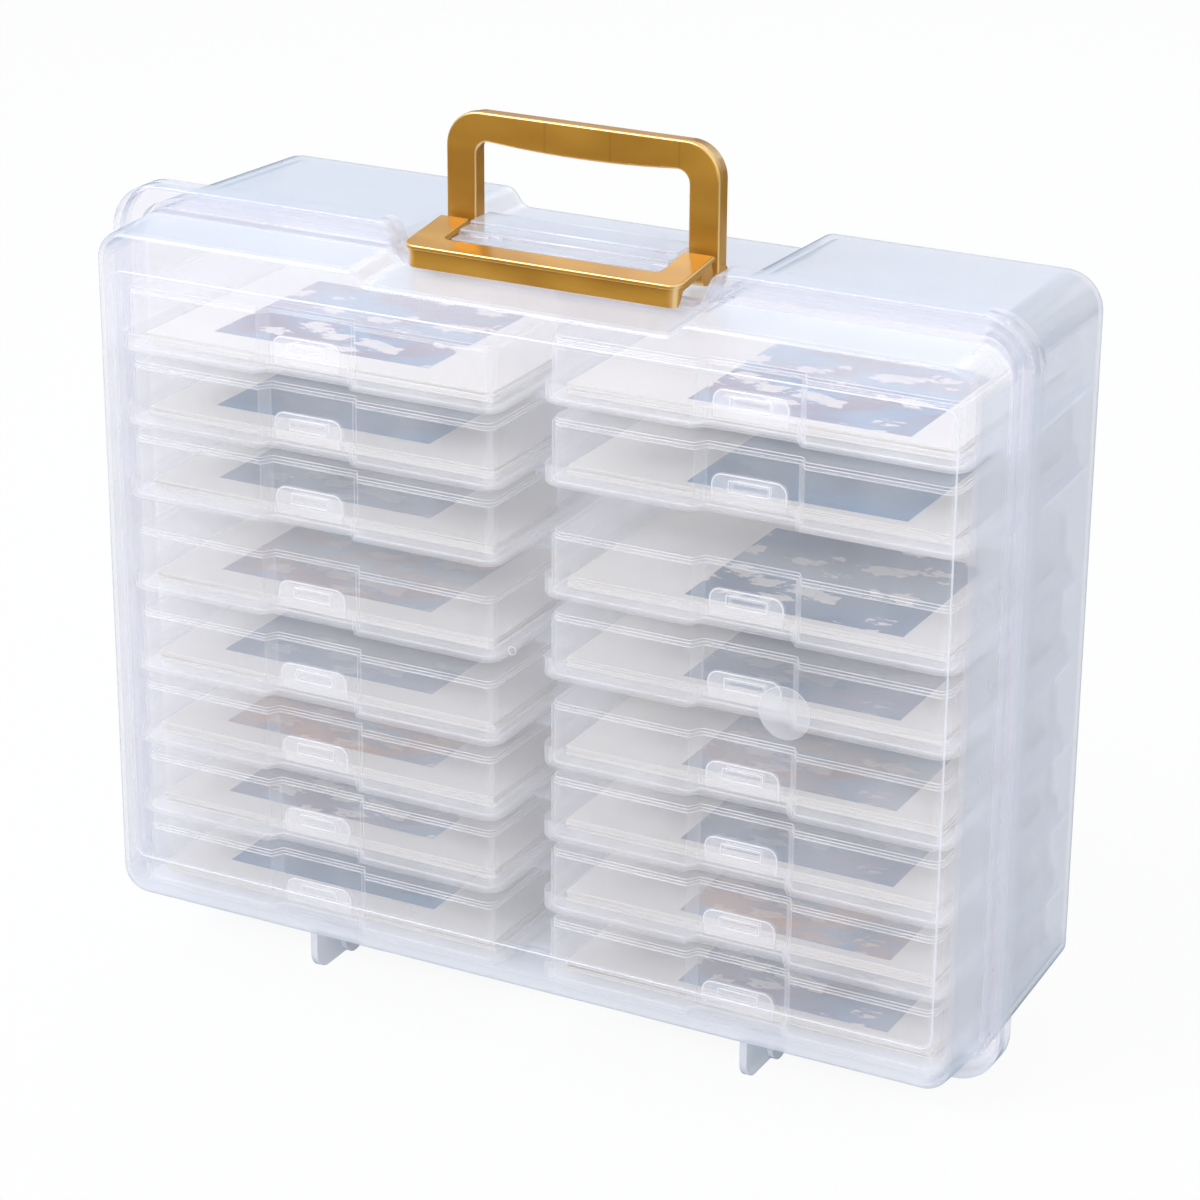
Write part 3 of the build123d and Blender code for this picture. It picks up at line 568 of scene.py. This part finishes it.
# Y and Z of the edges of the steps, in mm
PLATFORM_EDGES = ((-30.5, 303.1), (-24.2, 305.1), (-16.2, 306.3), (-2.4, 306.3))
PLATFORM_BEAD = 0.4 * MM


def platform_beads():
    """The rounded crests of the steps of the platform between the handle's feet, with a painted highlight.
    """
    shape = bmesh.new()
    for y, z in PLATFORM_EDGES:
        ends = [Vector((x, y * MM, z * MM)) for x in (-PLATFORM_HALF, PLATFORM_HALF)]
        add_bead(shape, [(end, Vector((0, 0, 1))) for end in ends], PLATFORM_BEAD, closed=False)
    return finish_piece("platform_beads", shape, "rear_shell", "clear_shell", raised_line_highlight)


def gate_mark():
    """The small ring that the moulding gate leaves in the middle of the lid."""
    shape = bmesh.new()
    start = bmesh.ops.create_circle(
        shape, segments=GATE_BEAD_SIDES, radius=GATE_BEAD,
        matrix=Matrix.Translation(GATE_PLACE + Vector((GATE_RADIUS, -GATE_RISE, 0))),
    )
    edges = list({edge for vert in start["verts"] for edge in vert.link_edges})
    bmesh.ops.spin(
        shape, geom=start["verts"] + edges, cent=GATE_PLACE, axis=(0, 1, 0), angle=2 * math.pi,
        steps=GATE_STEPS, use_merge=True,
    )
    bmesh.ops.recalc_face_normals(shape, faces=shape.faces)
    return finish_piece("lid_gate_mark", shape, "lid", "clear_shell", seal_vinyl)


# --- lights, floor and backdrop ---------------------------------------------
AMBIENT = 0.79
DARK_ROOM = 0.2
BRIGHT_ROOM = 1.1
WINDOW_GLARE = 5.0
# how near the key lamp a reflected ray points, at the rim and in the window
WINDOW_RIM = 0.86
WINDOW_PANE = 0.94
COOL_SKY = "#DDEAFA"
KEY_PLACE = Vector((-1.1, -1.2, 1.7))
LAMPS_AIM = Vector((0, 0, 0.15))
# place, diameter, power and colour of each lamp
LAMPS = {
    "key": (KEY_PLACE, 1.2, 15.0, "#FFFFFF"),
    "fill": (Vector((1.6, -0.6, 0.9)), 1.2, 1.5, "#F4F8FF"),
    "front": (Vector((0.3, -1.7, 0.35)), 1.0, 3.0, "#FFFFFF"),
    "back": (Vector((-0.3, 1.4, 1.5)), 1.4, 5.0, "#FFFFFF"),
}


def make_lights():
    """A white backdrop; a pale sky, cooler on the left; a room with one bright window, darker low down,
    that only reflections show; a large key lamp over the left shoulder and three weak fills."""
    scene = bpy.context.scene
    world = bpy.data.worlds.new("studio")
    world.use_nodes = True
    tree = world.node_tree
    tree.nodes.clear()
    output = tree.nodes.new("ShaderNodeOutputWorld")
    path = add(tree, "ShaderNodeLightPath").outputs
    seen = add(tree, "ShaderNodeMath", {
        0: path["Is Camera Ray"], 1: path["Is Transmission Ray"],
    }, operation="MAXIMUM").outputs[0]
    direction = add(tree, "ShaderNodeTexCoord").outputs["Generated"]
    axes = add(tree, "ShaderNodeSeparateXYZ", {"Vector": direction}).outputs
    mirrored = add(tree, "ShaderNodeMapRange", {
        "Value": axes[2], "From Min": -0.1, "From Max": 0.55, "To Min": DARK_ROOM, "To Max": BRIGHT_ROOM,
    }).outputs[0]
    towards = add(tree, "ShaderNodeVectorMath", {
        0: direction, 1: KEY_PLACE.normalized(),
    }, operation="DOT_PRODUCT").outputs["Value"]
    window = add(tree, "ShaderNodeMapRange", {
        "Value": towards, "From Min": WINDOW_RIM, "From Max": WINDOW_PANE, "To Max": WINDOW_GLARE,
    }).outputs[0]
    mirrored = add(tree, "ShaderNodeMath", {0: mirrored, 1: window}, operation="ADD").outputs[0]
    # below the horizon the floor lights the object, not the sky
    lighting = add(tree, "ShaderNodeMapRange", {
        "Value": axes[2], "From Min": -0.05, "From Max": 0.0, "To Max": AMBIENT,
    }).outputs[0]
    lit = add(tree, "ShaderNodeMix", {
        0: path["Is Glossy Ray"], 2: lighting, 3: mirrored,
    }, data_type="FLOAT").outputs[0]
    strength = add(tree, "ShaderNodeMix", {0: seen, 2: lit, 3: 1.0}, data_type="FLOAT").outputs[0]
    cool = add(tree, "ShaderNodeMapRange", {"Value": axes[0], "From Min": 0.0, "From Max": -0.8}).outputs[0]
    colour = add(tree, "ShaderNodeMix", {
        0: cool, 6: linear("#FFFFFF"), 7: linear(COOL_SKY),
    }, data_type="RGBA").outputs[2]
    colour = add(tree, "ShaderNodeMix", {0: seen, 6: colour, 7: (1, 1, 1, 1)}, data_type="RGBA").outputs[2]
    sky = add(tree, "ShaderNodeBackground", {"Color": colour, "Strength": strength})
    tree.links.new(sky.outputs[0], output.inputs["Surface"])
    scene.world = world
    for name, (place, size, power, tint) in LAMPS.items():
        data = bpy.data.lights.new(name, "AREA")
        data.shape = "DISK"
        data.size = size
        data.energy = power
        data.color = linear(tint)[:3]
        lamp = bpy.data.objects.new(name, data)
        scene.collection.objects.link(lamp)
        lamp.location = place
        lamp.rotation_euler = (LAMPS_AIM - place).to_track_quat("-Z", "Y").to_euler()


FLOOR_HALF = 6.0
# how much of the floor the camera sees, before the white backdrop
FLOOR_SHARE = 0.1


def make_floor():
    """A floor that carries the object's shadow, bounces light and looks grey in reflections. The camera
    sees the white backdrop through it, so that a lid that hangs below the ground is still seen."""
    mesh = bpy.data.meshes.new("floor")
    shape = bmesh.new()
    bmesh.ops.create_grid(shape, x_segments=1, y_segments=1, size=FLOOR_HALF)
    shape.to_mesh(mesh)
    shape.free()
    floor = bpy.data.objects.new("floor", mesh)
    bpy.context.scene.collection.objects.link(floor)
    material, tree, output = empty_material("white studio floor")
    path = add(tree, "ShaderNodeLightPath").outputs
    seen_through = add(tree, "ShaderNodeMath", {
        0: path["Is Camera Ray"], 1: 1 - FLOOR_SHARE,
    }, operation="MULTIPLY").outputs[0]
    passing = add(tree, "ShaderNodeMath", {
        0: seen_through, 1: path["Is Shadow Ray"],
    }, operation="MAXIMUM").outputs[0]
    paper = add(tree, "ShaderNodeBsdfDiffuse", {"Color": linear("#F4F5F7")})
    grey = add(tree, "ShaderNodeEmission", {"Color": (1, 1, 1, 1), "Strength": DARK_ROOM})
    clear = add(tree, "ShaderNodeBsdfTransparent", {"Color": (1, 1, 1, 1)})
    mixed = add(tree, "ShaderNodeMixShader", {
        0: path["Is Glossy Ray"], 1: paper.outputs[0], 2: grey.outputs[0],
    })
    mixed = add(tree, "ShaderNodeMixShader", {
        0: passing, 1: mixed.outputs[0], 2: clear.outputs[0],
    })
    tree.links.new(mixed.outputs[0], output.inputs["Surface"])
    mesh.materials.append(material)


make_camera()
make_lights()
make_floor()
bpy.context.scene.view_settings.view_transform = "Standard"
# a line of sight crosses many thin clear walls
bpy.context.scene.cycles.transparent_max_bounces = 64

shell_plastic = clear_polypropylene(
    "natural polypropylene shell", "#F7F8FC", "#C4D9F0", "#FDFCFD",
    haze=0.09, edge_haze=0.79, painted_radius_highlight=0.12, foot_haze=0.45, onset=2.0)
# the bevels of the shell and of the cases carry a painted highlight: near-white and more opaque than the
# wall
shell_edge_highlight = clear_polypropylene(
    "painted highlight on the edges of the shell", "#FFFFFF", "#FFFFFF", "#FFFFFF", haze=0.5, edge_haze=0.7, painted_radius_highlight=0.1)
case_plastic = clear_polypropylene(
    "clear polypropylene case", "#FCFCFC", "#F7F7FA", "#FEFEFE", haze=0.11, edge_haze=0.62, painted_radius_highlight=0.15)
case_edge_highlight = clear_polypropylene(
    "painted highlight on the edges of the cases", "#FFFFFF", "#FFFFFF", "#FFFFFF", haze=0.6, edge_haze=0.8, painted_radius_highlight=0.1)
# the beads on the raised lines carry a painted highlight: whiter and more opaque than the shell
raised_line_highlight = clear_polypropylene(
    "painted highlight on the raised lines", "#F6F8FC", "#E4ECF8", "#FFFFFF", haze=0.4, edge_haze=0.6, painted_radius_highlight=0.0)
tab_plastic = clear_polypropylene(
    "thick tab of the cases", "#FFFFFF", "#FFFFFF", "#FFFFFF", haze=0.15, edge_haze=0.6, painted_radius_highlight=0.1)
gold = gold_plastic("gold flake ABS")
card_white = white_card("uncoated white card")
seal_vinyl = clear_polypropylene(
    "clear vinyl seal", "#F1F1F3", "#FFFFFF", "#FAFAFA", haze=0.35, edge_haze=0.85, painted_radius_highlight=0.5)

# each slot has its finish and the painted highlight of its edges, if any
FINISHES = {
    "clear_shell": (shell_plastic, shell_edge_highlight),
    "clear_case": (case_plastic, case_edge_highlight),
    "gold_plastic": (gold, None),
}
for part in frame["record"]["subparts"]:
    node = frame["nodes"][part["node"]]
    finish, edge_highlight_finish = FINISHES[part["material_slot"]]
    node.data.materials.clear()
    node.data.materials.append(finish)
    soften_edges(node, EDGE_RADIUS, edge_highlight_finish)

# ink colours of the prints, and where each field lies on its card: left,
# right, front and back, as shares of the card
LEFT_FIELD = (0.145, 0.77, 0.13, 0.88)
RIGHT_FIELD = (0.30, 0.87, 0.05, 0.82)
PRINTS = (
    ("lilac wash print", "#6E5A86", "#4A94C6", "#FBF2F2", 0.9, 0.2),
    ("plain blue print", "#066A9E", "#2286BA", "#5F9DB8", 0.2, 0.05),
    ("slate blue print", "#206896", "#74729C", "#BCC5CE", 0.5, 0.15),
    ("daisy print", "#004A78", "#006494", "#F8F2EA", 0.85, 0.0),
    ("dusk print", "#84585F", "#2C80B0", "#DCC3BC", 0.6, 0.25),
    ("peach and blue print", "#CC8A62", "#2A88BA", "#F4D8C2", 0.7, 0.2),
)
LEFT_PRINTS = (0, 1, 2, 4, 2, 5, 0, 1)
RIGHT_PRINTS = (0, 1, 3, 2, 4, 2, 5, 0)
for side, field, order in (("left", LEFT_FIELD, LEFT_PRINTS), ("right", RIGHT_FIELD, RIGHT_PRINTS)):
    inks = [printed_card(f"{name} {side}", *look, field) for name, *look in PRINTS]
    for row in ROWS:
        card_stack(side, row, inks[order[row - 1]])
border_bead()
platform_beads()
for side in SIDES:
    for row in ROWS:
        tab_beads(side, row)
round_seal()
gate_mark()
